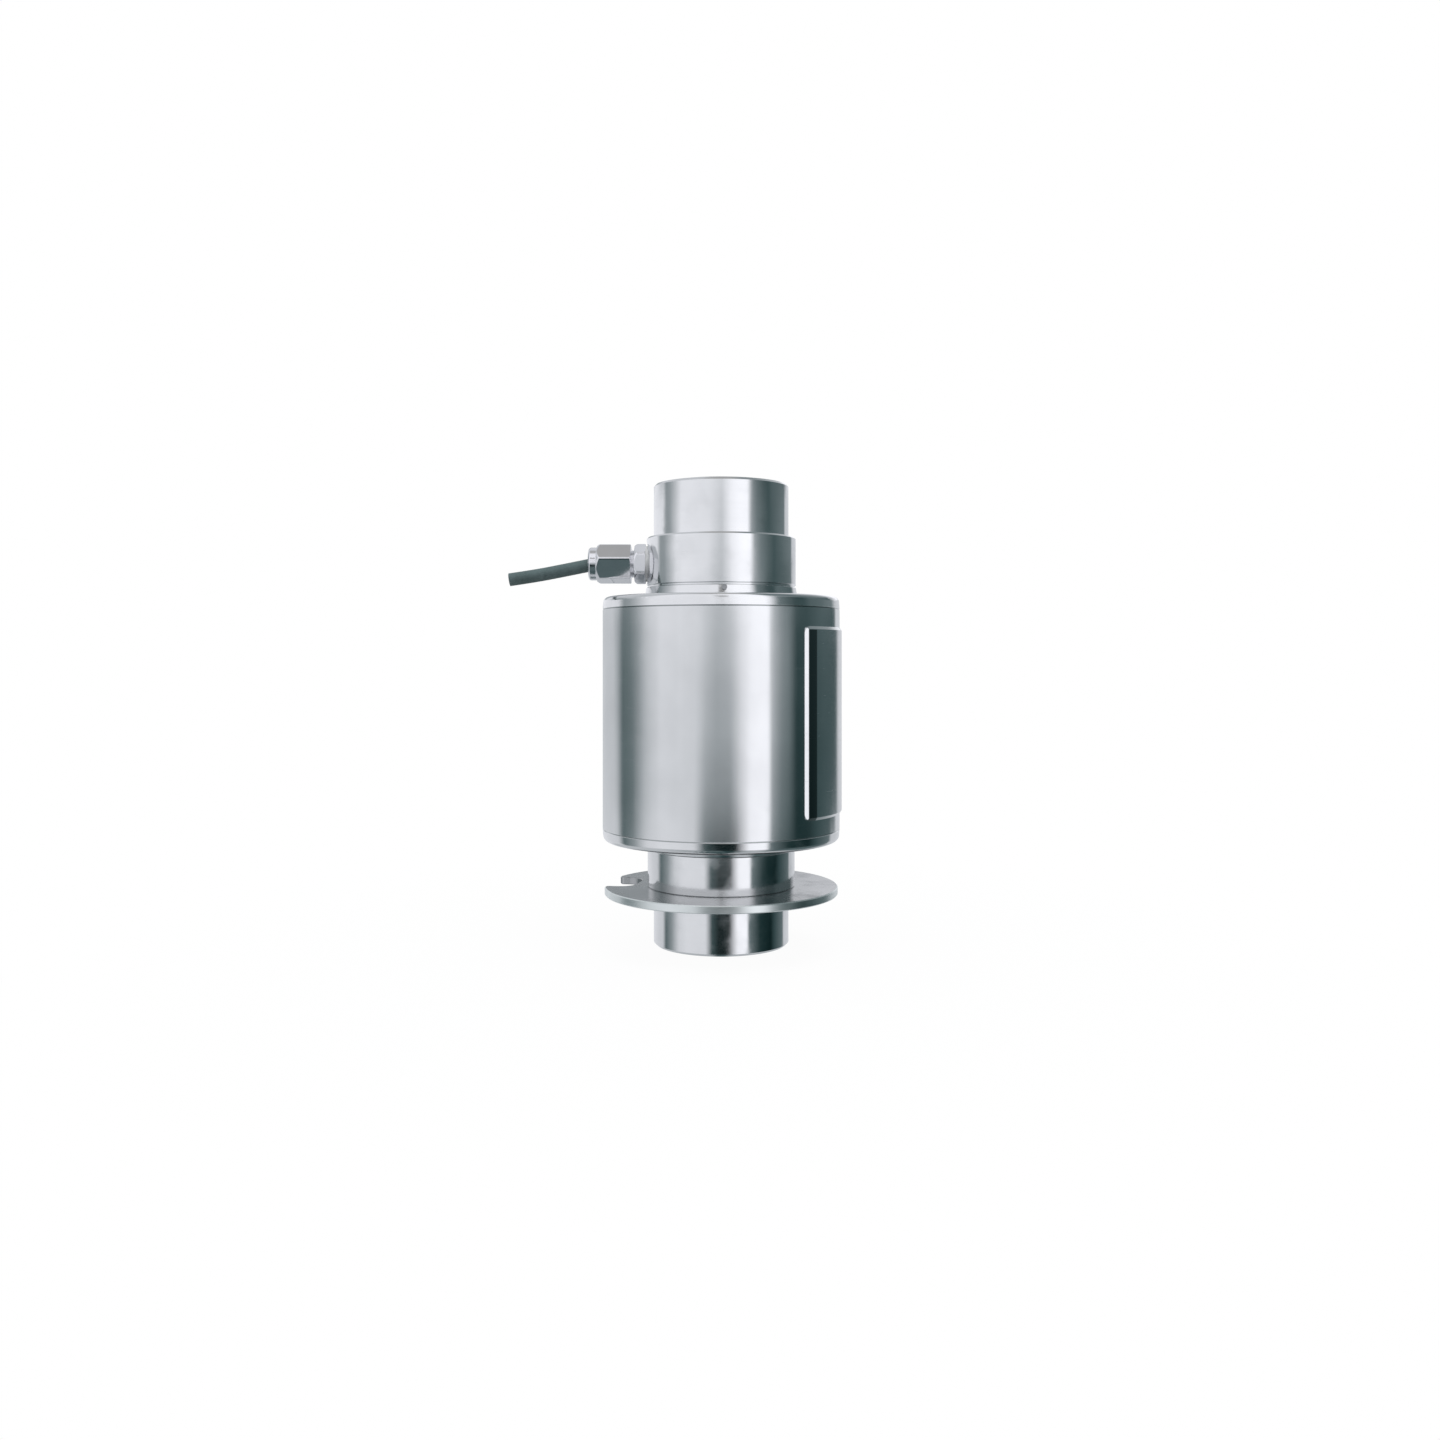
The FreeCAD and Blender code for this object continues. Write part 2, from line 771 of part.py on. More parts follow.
def fill_bore():
    out = fill_axis()
    base = out * (body_r - fill_hole_depth) + V(0, 0, upper_cap_top_z + fill_plug_height)
    length = fill_hole_depth + lip_end_wall + lip_flare + fill_plug_head
    return Part.makeCylinder(fill_plug_d / 2 + turned_gap, length, base, out)


def make_fill_plug():
    out = fill_axis()
    seat_r = body_r + lip_end_wall + lip_flare
    level = V(0, 0, upper_cap_top_z + fill_plug_height)
    base = out * (body_r - fill_hole_depth) + level
    shank = Part.makeCylinder(fill_plug_d / 2, seat_r - body_r + fill_hole_depth, base, out)
    head = Part.makeCylinder(fill_plug_head_d / 2, fill_plug_head, out * seat_r + level, out)
    return shank.fuse(head)


def make_pieces():
    half = core_pitch / 2
    return {
        "column_body": make_column_body(),
        "outer_shell": make_outer_shell(),
        "upper_cap": make_upper_cap(),
        "lower_cap": make_lower_cap(),
        "antirotation_plate": make_antirotation_plate(),
        "retaining_ring": make_retaining_ring(),
        "nameplate": make_nameplate(),
        "gland_body": make_gland_body(),
        "gland_o_ring": make_gland_o_ring(),
        "gland_cap_nut": make_gland_cap_nut(),
        "gland_seal": make_gland_seal(),
        "gland_clamp_insert": make_gland_clamp_insert(),
        "cable": make_cable(),
        "cable_lead_in": make_cable_lead_in(),
        "core_red": make_core(half, half, lug_first),
        "core_black": make_core(half, -half, lug_first),
        "core_green": make_core(-half, half, lug_second),
        "core_white": make_core(-half, -half, lug_second),
        "terminal_board": make_terminal_board(),
        "board_spacers": make_board_spacers(),
        "board_screws": make_board_screws(),
        "solder_lugs": make_solder_lugs(),
        "trim_resistors": make_trim_resistors(),
        "gauge_right": make_gauge(0.0),
        "gauge_back": make_gauge(90.0),
        "gauge_left": make_gauge(180.0),
        "gauge_front": make_gauge(270.0),
        "gauge_leads": make_gauge_leads(),
        "fill_plug": make_fill_plug(),
    }


def report_cable(shape):
    points = cable_route()
    radii = route_radii(points)[1:-1]
    length = sum(a.distanceToPoint(b) for a, b in zip(points, points[1:]))
    section = math.pi * cable_d ** 2 / 4
    print("cable points", [(round(p.x, 3), round(p.y, 3), round(p.z, 3)) for p in points])
    print("cable arc radii", [round(r, 1) for r in radii], "length", round(length, 2))
    print("cable volume", round(shape.Volume, 2), "section x length", round(section * length, 2))


os.makedirs("parts", exist_ok=True)
pieces = make_pieces()
report_cable(pieces["cable"])
for name, shape in pieces.items():
    shape.exportStep("parts/" + name + ".step")
    print(name, "solids", len(shape.Solids), "volume", round(shape.Volume, 2), shape.isValid())
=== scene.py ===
import math
import bmesh
import bpy
import numpy as np
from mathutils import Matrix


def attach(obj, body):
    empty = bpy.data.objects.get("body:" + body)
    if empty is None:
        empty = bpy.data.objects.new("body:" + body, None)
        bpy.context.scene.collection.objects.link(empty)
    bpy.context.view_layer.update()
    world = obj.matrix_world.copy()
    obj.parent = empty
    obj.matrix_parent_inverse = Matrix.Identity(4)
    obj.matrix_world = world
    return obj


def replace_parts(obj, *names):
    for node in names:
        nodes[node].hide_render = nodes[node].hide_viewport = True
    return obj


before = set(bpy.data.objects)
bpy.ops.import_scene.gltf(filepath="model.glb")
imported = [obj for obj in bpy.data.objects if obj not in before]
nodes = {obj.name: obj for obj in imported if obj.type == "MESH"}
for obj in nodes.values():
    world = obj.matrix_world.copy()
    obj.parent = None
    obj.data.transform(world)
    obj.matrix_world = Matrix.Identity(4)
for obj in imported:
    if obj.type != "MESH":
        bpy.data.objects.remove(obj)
scene = bpy.context.scene
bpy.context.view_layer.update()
print("frame loaded with", len(nodes), "nodes")


# camera: level, in front of the column, a little below the upper cap
cameraValues = {
    "lens": 32.9,
    "sensor": 36.0,
    "distance": 0.558,
    "eyeHeight": 0.1220,
    "shiftX": -0.0008,
    "shiftY": -0.0417,
}


def placeCamera(values):
    data = bpy.data.cameras.new("camera")
    data.lens = values["lens"]
    data.sensor_width = values["sensor"]
    data.shift_x = values["shiftX"]
    data.shift_y = values["shiftY"]
    data.clip_start = 0.01
    camera = bpy.data.objects.new("camera", data)
    camera.location = (0.0, -values["distance"], values["eyeHeight"])
    camera.rotation_euler = (math.radians(90), 0.0, 0.0)
    scene.collection.objects.link(camera)
    scene.camera = camera


placeCamera(cameraValues)
print("camera placed")


# node helpers: put() adds a node, calc() adds a Math node and gives its result
def put(tree, kind, settings=None, inputs=None):
    node = tree.nodes.new(kind)
    for key, value in (settings or {}).items():
        setattr(node, key, value)
    for key, value in (inputs or {}).items():
        if isinstance(value, bpy.types.NodeSocket):
            tree.links.new(value, node.inputs[key])
        else:
            node.inputs[key].default_value = value
    return node


def calc(tree, operation, a, b=0.0, c=0.0):
    return put(tree, "ShaderNodeMath", {"operation": operation}, {0: a, 1: b, 2: c}).outputs[0]


def remap(tree, value, low, high, toLow, toHigh):
    node = put(tree, "ShaderNodeMapRange", {"clamp": True}, {
        "Value": value, "From Min": low, "From Max": high, "To Min": toLow, "To Max": toHigh,
    })
    return node.outputs[0]


def mixColours(tree, factor, first, second):
    node = put(tree, "ShaderNodeMix", {"data_type": "RGBA"}, {0: factor, 6: first, 7: second})
    return node.outputs[2]


def noise(tree, vector, scale, detail=2.0):
    node = put(tree, "ShaderNodeTexNoise", {}, {"Vector": vector, "Scale": scale, "Detail": detail})
    return node.outputs["Fac"]


def grey(value):
    return (value, value, value, 1.0)


# a Noise texture mostly runs from 0.3 to 0.7
def spread(tree, value, toLow, toHigh):
    return remap(tree, value, 0.3, 0.7, toLow, toHigh)


def startMaterial(name):
    material = bpy.data.materials.new(name)
    material.use_nodes = True
    tree = material.node_tree
    place = put(tree, "ShaderNodeTexCoord").outputs["Object"]
    return material, tree, tree.nodes["Principled BSDF"], place


# place for noise that runs in rings: quick along the axis and the radius, slow round the axis
def ringPlace(tree, split, radius, look):
    along = calc(tree, "ADD", split.outputs["Z"], calc(tree, "MULTIPLY", radius, look["radial"]))
    return put(tree, "ShaderNodeCombineXYZ", {}, {
        0: calc(tree, "MULTIPLY", along, look["ringsPerMetre"]),
        1: calc(tree, "MULTIPLY", split.outputs["X"], look["streaks"]),
        2: calc(tree, "MULTIPLY", split.outputs["Y"], look["streaks"]),
    }).outputs[0]


def hairlineScratches(tree, place, look):
    stretched = put(tree, "ShaderNodeMapping", {}, {
        "Vector": place, "Rotation": look["scratchTurn"], "Scale": look["scratchScale"],
    }).outputs[0]
    return remap(tree, noise(tree, stretched, 1.0, 1.0), *look["scratchRange"], 0.0, 1.0)


# grime in the seams: full within half a seam's width of its height, none beyond the width
def markSeams(tree, colour, height, look):
    for seam in look["seams"]:
        offset = calc(tree, "ABSOLUTE", calc(tree, "SUBTRACT", height, seam))
        grime = remap(tree, offset, look["seamWidth"] * 0.5, look["seamWidth"], 1.0, 0.0)
        colour = mixColours(tree, grime, colour, look["seamColour"])
    return colour


# painted dark reflection: a dark strip between two bearings round the axis (in degrees) and below a
# height, standing in for the dark reflection beside a raised edge
def paintDarkReflection(tree, colour, split, look):
    bearing = calc(tree, "ARCTAN2", split.outputs["Y"], split.outputs["X"])
    soft, edges = look["reflectionStripSoftness"], look["reflectionStrip"]
    first, last = [[math.radians(edge - soft), math.radians(edge + soft)] for edge in edges]
    begun = remap(tree, bearing, *first, 0.0, 1.0)
    going = remap(tree, bearing, *last, 1.0, 0.0)
    top = look["reflectionStripTop"]
    below = remap(tree, split.outputs["Z"], top - 0.0002, top, 1.0, 0.0)
    inPaintedReflection = calc(tree, "MULTIPLY", calc(tree, "MULTIPLY", begun, going), below)
    return mixColours(tree, inPaintedReflection, colour, look["reflectionStripColour"])


# turned and plated metals: fine rings about the axis, clouds, smudges and hairline scratches
def metalLook(name, look):
    material, tree, shader, place = startMaterial(name)
    split = put(tree, "ShaderNodeSeparateXYZ", {}, {0: place})
    flat = put(tree, "ShaderNodeVectorMath", {"operation": "MULTIPLY"}, {0: place, 1: (1, 1, 0)})
    length = put(tree, "ShaderNodeVectorMath", {"operation": "LENGTH"}, {0: flat.outputs[0]})
    radius = length.outputs["Value"]
    turned = ringPlace(tree, split, radius, look)
    rings = noise(tree, turned, 1.0, 3.0)
    wideRings = noise(tree, turned, look["wideRings"], 2.0)
    clouds = noise(tree, place, look["cloudScale"], 3.0)
    smudges = noise(tree, place, look["smudgeScale"], 4.0)

    ringTone = calc(tree, "MULTIPLY", wideRings, look["ringTone"])
    tone = calc(tree, "MULTIPLY_ADD", clouds, 1.0 - look["ringTone"], ringTone)
    colour = mixColours(tree, spread(tree, tone, 0.0, 1.0), look["dark"], look["light"])
    if "seams" in look:
        colour = markSeams(tree, colour, split.outputs["Z"], look)
    # painted dark reflection: a dark strip on the label plate beside its raised edge
    if "reflectionStrip" in look:
        colour = paintDarkReflection(tree, colour, split, look)

    rough = calc(tree, "MULTIPLY", spread(tree, rings, -1.0, 1.0), look["ringRoughness"])
    worn = remap(tree, smudges, 0.5, 0.75, 0.0, look["smudgeRoughness"])
    marked = calc(tree, "MULTIPLY", hairlineScratches(tree, place, look), look["scratchRoughness"])
    evenly = calc(tree, "ADD", marked, look["roughness"])
    total = calc(tree, "ADD", calc(tree, "ADD", rough, worn), evenly)
    if "rimRadius" in look:
        onRim = remap(tree, radius, look["rimRadius"] - 0.0001, look["rimRadius"], 0.0, 1.0)
        colour = mixColours(tree, onRim, colour, look["rimColour"])
        total = calc(tree, "MULTIPLY_ADD", onRim, look["rimRoughness"], total)
    tree.links.new(colour, shader.inputs["Base Color"])
    tree.links.new(total, shader.inputs["Roughness"])
    shader.inputs["Metallic"].default_value = 1.0
    shader.inputs["Anisotropic"].default_value = look["anisotropy"]
    shader.inputs["Anisotropic Rotation"].default_value = 0.25

    waves = put(tree, "ShaderNodeBump", {}, {
        "Strength": look["waviness"], "Distance": look["waveHeight"], "Height": smudges,
    }).outputs[0]
    grain = put(tree, "ShaderNodeBump", {}, {
        "Strength": look["ringDepth"], "Distance": look["ringHeight"],
        "Height": rings, "Normal": waves,
    }).outputs[0]
    tree.links.new(grain, shader.inputs["Normal"])
    return material


# moulded and coated surfaces: two tones in a fine grain, with a soft uneven sheen
def plasticLook(name, look):
    material, tree, shader, place = startMaterial(name)
    clouds = noise(tree, place, look["cloudScale"], 3.0)
    grain = noise(tree, place, look["grainScale"], 4.0)
    grainTone = calc(tree, "MULTIPLY", grain, 0.4)
    tone = calc(tree, "ADD", calc(tree, "MULTIPLY", clouds, 0.6), grainTone)
    share = remap(tree, tone, 0.35, 0.65, 0.0, 1.0)
    colour = mixColours(tree, share, look["dark"], look["light"])
    tree.links.new(colour, shader.inputs["Base Color"])
    uneven = look["roughnessSpread"]
    rough = spread(tree, clouds, look["roughness"] - uneven, look["roughness"] + uneven)
    tree.links.new(rough, shader.inputs["Roughness"])
    shader.inputs["Specular IOR Level"].default_value = look["specular"]
    bump = put(tree, "ShaderNodeBump", {}, {
        "Strength": look["grainDepth"], "Distance": look["grainHeight"], "Height": grain,
    }).outputs[0]
    tree.links.new(bump, shader.inputs["Normal"])
    return material


steelValues = {
    "dark": (0.71, 0.72, 0.725, 1), "light": (0.80, 0.81, 0.815, 1),
    "roughness": 0.11, "ringRoughness": 0.02, "smudgeRoughness": 0.13, "scratchRoughness": 0.08,
    "ringsPerMetre": 9000.0, "radial": 1.37, "streaks": 25.0, "wideRings": 0.07, "ringTone": 0.12,
    "cloudScale": 45.0, "smudgeScale": 95.0,
    "scratchTurn": (0.2, 0.1, 0.4), "scratchScale": (90, 90, 2400), "scratchRange": (0.70, 0.76),
    "ringDepth": 0.08, "ringHeight": 0.00002, "waviness": 0.03, "waveHeight": 0.0004,
    "anisotropy": 0.4,
}
seamValues = {
    "seams": [0.05126, 0.14326],  # heights where the tube meets its caps
    "seamWidth": 0.0003, "seamColour": (0.57, 0.59, 0.59, 1),
}
# the tube is polished along its axis, so its noise runs in fine upright streaks
shellValues = dict(steelValues, **seamValues, roughness=0.13, ringsPerMetre=30.0, streaks=2600.0,
                   ringTone=0.25, smudgeScale=60.0, ringDepth=0.06, waviness=0.02,
                   smudgeRoughness=0.05)
capValues = dict(steelValues, **seamValues, roughness=0.12, ringDepth=0.1)
discValues = dict(steelValues, roughness=0.24, ringTone=0.1, ringDepth=0.03, anisotropy=0.3,
                  waviness=0.02, dark=(0.375, 0.385, 0.39, 1), light=(0.44, 0.45, 0.455, 1),
                  rimRadius=0.04885, rimColour=(0.80, 0.84, 0.83, 1), rimRoughness=0.06)
# the label plate carries a painted dark reflection, a dark strip beside its raised left edge
labelPlateValues = dict(steelValues, roughness=0.19, radial=0.0, ringTone=0.3, anisotropy=0.3,
                        waviness=0.012, smudgeRoughness=0.04, reflectionStrip=(-46.9, -41.3),
                        reflectionStripSoftness=0.3, reflectionStripTop=0.1342, reflectionStripColour=(0.16, 0.19, 0.19, 1))
plugValues = dict(steelValues, roughness=0.3,
                  dark=(0.3, 0.31, 0.32, 1), light=(0.42, 0.43, 0.44, 1))
platedValues = dict(steelValues, roughness=0.11, ringDepth=0.05, waviness=0.03, anisotropy=0.0,
                    dark=(0.72, 0.725, 0.74, 1), light=(0.81, 0.815, 0.84, 1))
springValues = dict(steelValues, roughness=0.38,
                    dark=(0.16, 0.16, 0.17, 1), light=(0.25, 0.25, 0.26, 1))
tinValues = dict(steelValues, roughness=0.3,
                 dark=(0.62, 0.61, 0.58, 1), light=(0.78, 0.77, 0.74, 1))
brassValues = dict(steelValues, roughness=0.25,
                   dark=(0.52, 0.37, 0.15, 1), light=(0.68, 0.50, 0.22, 1))

jacketValues = {
    "dark": (0.044, 0.070, 0.070, 1), "light": (0.070, 0.102, 0.103, 1),
    "roughness": 0.55, "roughnessSpread": 0.1, "specular": 0.4,
    "cloudScale": 260.0, "grainScale": 3200.0, "grainDepth": 0.5, "grainHeight": 0.00005,
}
rubberValues = dict(jacketValues, dark=(0.012, 0.012, 0.013, 1), light=(0.03, 0.03, 0.032, 1))
nylonValues = dict(jacketValues, dark=(0.47, 0.48, 0.48, 1), light=(0.54, 0.55, 0.55, 1),
                   roughness=0.35)


def insulation(name, dark, light):
    look = dict(jacketValues, dark=dark, light=light, roughness=0.4, grainDepth=0.2)
    return plasticLook(name, look)


turnedSteel = metalLook("turnedSteel", steelValues)
brushedShell = metalLook("brushedShell", shellValues)
turnedCap = metalLook("turnedCap", capValues)
satinDisc = metalLook("satinDisc", discValues)
labelMetal = metalLook("labelMetal", labelPlateValues)
platedBrass = metalLook("platedBrass", platedValues)
springSteel = metalLook("springSteel", springValues)
tinnedMetal = metalLook("tinnedMetal", tinValues)
plainBrass = metalLook("plainBrass", brassValues)
dullSteel = metalLook("dullSteel", plugValues)
cableJacket = plasticLook("cableJacket", jacketValues)
blackRubber = plasticLook("blackRubber", rubberValues)
naturalNylon = plasticLook("naturalNylon", nylonValues)
redInsulation = insulation("redInsulation", (0.42, 0.02, 0.015, 1), (0.55, 0.035, 0.025, 1))
blackInsulation = insulation("blackInsulation", (0.012, 0.012, 0.012, 1), (0.03, 0.03, 0.03, 1))
greenInsulation = insulation("greenInsulation", (0.015, 0.22, 0.06, 1), (0.03, 0.31, 0.09, 1))
whiteInsulation = insulation("whiteInsulation", (0.68, 0.67, 0.63, 1), (0.82, 0.81, 0.78, 1))
boardGreen = insulation("boardGreen", (0.02, 0.13, 0.06, 1), (0.035, 0.19, 0.09, 1))
resistorCeramic = insulation("resistorCeramic", (0.03, 0.03, 0.035, 1), (0.07, 0.07, 0.08, 1))
gaugeFilm = insulation("gaugeFilm", (0.40, 0.19, 0.04, 1), (0.55, 0.28, 0.07, 1))

finishes = {
    "column_body": turnedSteel,
    "outer_shell": brushedShell,
    "upper_cap": turnedCap,
    "lower_cap": turnedCap,
    "antirotation_plate": satinDisc,
    "retaining_ring": springSteel,
    "nameplate": labelMetal,
    "gland_body": platedBrass,
    "gland_o_ring": naturalNylon,
    "gland_cap_nut": platedBrass,
    "gland_seal": blackRubber,
    "gland_clamp_insert": platedBrass,
    "cable_lead_in": cableJacket,
    "core_red": redInsulation,
    "core_black": blackInsulation,
    "core_green": greenInsulation,
    "core_white": whiteInsulation,
    "terminal_board": boardGreen,
    "board_spacers": plainBrass,
    "board_screws": platedBrass,
    "solder_lugs": tinnedMetal,
    "trim_resistors": resistorCeramic,
    "gauge_right": gaugeFilm,
    "gauge_back": gaugeFilm,
    "gauge_left": gaugeFilm,
    "gauge_front": gaugeFilm,
    "gauge_leads": tinnedMetal,
    "fill_plug": dullSteel,
}
for nodeName, finish in finishes.items():
    for materialSlot in nodes[nodeName].material_slots:
        materialSlot.material = finish
print("finishes on", len(finishes), "nodes")


# gland hexagons: each solid's own outline and hexagon, with the corners broken to catch the light.
# An outline runs outwards along the gland: distance from the column's axis, radius
hexagonValues = {
    "acrossFlats": 0.015,
    "axisHeight": 0.162659,
    "ease": 0.00022,  # how far the turned corners are broken
    "spacing": 0.0003,  # between the outline's stations
    "cornerSharpness": 42.0,  # of the six long corners; a lower value rounds them more
    "turnedSharpness": 90.0,  # where the flats run into the turned outline
    "steps": [0, 0.6, 1.2, 1.9, 2.7, 3.7, 5, 7, 10, 14, 20, 27],  # degrees from a long corner
}
capNutValues = dict(hexagonValues, cornerTurn=-76.6, outline=[
    (0.0381, 0.00806), (0.0384, 0.00866), (0.0511, 0.00866), (0.0525, 0.00754), (0.0525, 0.00695),
    (0.0553, 0.00695), (0.0560, 0.00625), (0.0560, 0.0038), (0.0494, 0.0038), (0.0494, 0.0060),
    (0.0381, 0.0060),
])
glandBodyValues = dict(hexagonValues, cornerTurn=0.0, outline=[
    (0.0243, 0.0060), (0.0319, 0.0060), (0.0319, 0.00806), (0.0322, 0.00866), (0.0354, 0.00866),
    (0.0366, 0.00770), (0.0366, 0.0059), (0.0369, 0.0059), (0.0372, 0.0055), (0.0375, 0.0059),
    (0.0378, 0.0055), (0.0381, 0.0059), (0.0472, 0.0059), (0.0472, 0.00475), (0.0402, 0.00475),
    (0.0402, 0.0032), (0.0243, 0.0032),
])


# each corner becomes a quadratic curve that starts and ends one "ease" away from it (at most 0.4
# of the side), and the closed loop then gets stations at the curves' points and every "spacing"
def easeOutline(values):
    corner = np.array(values["outline"])
    before, after = np.roll(corner, 1, axis=0) - corner, np.roll(corner, -1, axis=0) - corner
    reach = [
        np.minimum(values["ease"] / np.linalg.norm(side, axis=1), 0.4)[:, None]
        for side in (before, after)
    ]
    first, last = corner + before * reach[0], corner + after * reach[1]
    t = np.linspace(0, 1, 5)[None, :, None]
    middle = 2 * t * (1 - t) * corner[:, None]
    rounded = (1 - t) ** 2 * first[:, None] + middle + t ** 2 * last[:, None]
    loop = np.vstack([rounded.reshape(-1, 2), first[:1]])
    sides = np.linalg.norm(np.diff(loop, axis=0), axis=1)
    travel = np.concatenate([[0], np.cumsum(sides)])
    stations = np.union1d(travel, np.arange(0, travel[-1], values["spacing"]))[:-1]
    return np.interp(stations, travel, loop[:, 0]), np.interp(stations, travel, loop[:, 1])


# a hexagon's radius at an angle is half its width across flats, divided by the s-th root of the sum
# of the s-th powers of the cosines towards its six flats. The surface then takes the smaller of
# this and the turned outline's radius, by the same kind of sum of their inverse powers, so that the
# two run into each other with a narrow curve
def hexagonRadius(angle, radius, values):
    normals = np.radians(np.arange(30, 390, 60) + values["cornerTurn"])
    facing = np.clip(np.cos(angle[:, None] - normals[None, :]), 0, None)
    sharpness, meet = values["cornerSharpness"], values["turnedSharpness"]
    flats = values["acrossFlats"] / 2 * np.sum(facing ** sharpness, axis=1) ** (-1 / sharpness)
    return (flats[None, :] ** -meet + radius[:, None] ** -meet) ** (-1 / meet)


# closed grid: rows follow the outline, columns go round the gland's axis
def makeHexagon(name, values):
    along, radius = easeOutline(values)
    steps = np.array(values["steps"])
    offsets = np.concatenate([steps, 60 - steps[:0:-1]])
    corners = np.arange(0, 360, 60)[:, None]
    angle = np.radians((corners + offsets[None, :] + values["cornerTurn"]).ravel())
    r = hexagonRadius(angle, radius, values)
    grid = np.stack([
        np.broadcast_to(-along[:, None], r.shape),
        r * np.sin(angle),
        values["axisHeight"] + r * np.cos(angle),
    ], axis=-1)
    rows, columns = r.shape
    i, j = np.meshgrid(np.arange(rows), np.arange(columns), indexing="ij")
    nextRow, nextColumn = (i + 1) % rows, (j + 1) % columns
    faces = np.stack([
        i * columns + j,
        i * columns + nextColumn,
        nextRow * columns + nextColumn,
        nextRow * columns + j,
    ], axis=-1).reshape(-1, 4)
    data = bpy.data.meshes.new(name)
    data.from_pydata(grid.reshape(-1, 3).tolist(), [], faces.tolist())
    work = bmesh.new()
    work.from_mesh(data)
    bmesh.ops.recalc_face_normals(work, faces=work.faces)
    work.to_mesh(data)
    work.free()
    data.shade_smooth()
    data.materials.append(platedBrass)
    piece = bpy.data.objects.new(name, data)
    scene.collection.objects.link(piece)
    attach(piece, "root")
    return piece


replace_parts(makeHexagon("cap_nut", capNutValues), "gland_cap_nut")
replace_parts(makeHexagon("gland_hexagon", glandBodyValues), "gland_body")
print("gland hexagons made")


# cable: one smooth curve through the same route as its solid, cut square at its end
cableValues = {
    "diameter": 0.0055,
    "length": 0.0343,  # outside the nut
    "route": [
        (-0.0560, 0.0, 0.162107),
        (-0.0670, 0.0, 0.159869),
        (-0.0790, 0.0, 0.157557),
        (-0.0897, 0.0, 0.156007),
    ],
}


def makeCable(values):
    data = bpy.data.curves.new("signal_cable", "CURVE")
    data.dimensions = "3D"
    data.bevel_depth = values["diameter"] / 2
    data.bevel_resolution = 10
    data.resolution_u = 24
    data.use_fill_caps = True
    spline = data.splines.new("NURBS")
    spline.points.add(len(values["route"]) - 1)
    for point, place in zip(spline.points, values["route"]):
        point.co = (*place, 1.0)
    spline.order_u = 3
    spline.use_endpoint_u = True
    data.materials.append(cableJacket)
    cable = bpy.data.objects.new("signal_cable", data)
    scene.collection.objects.link(cable)
    return cable


cable = makeCable(cableValues)
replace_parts(cable, "cable")
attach(cable, "root")
print("cable made")


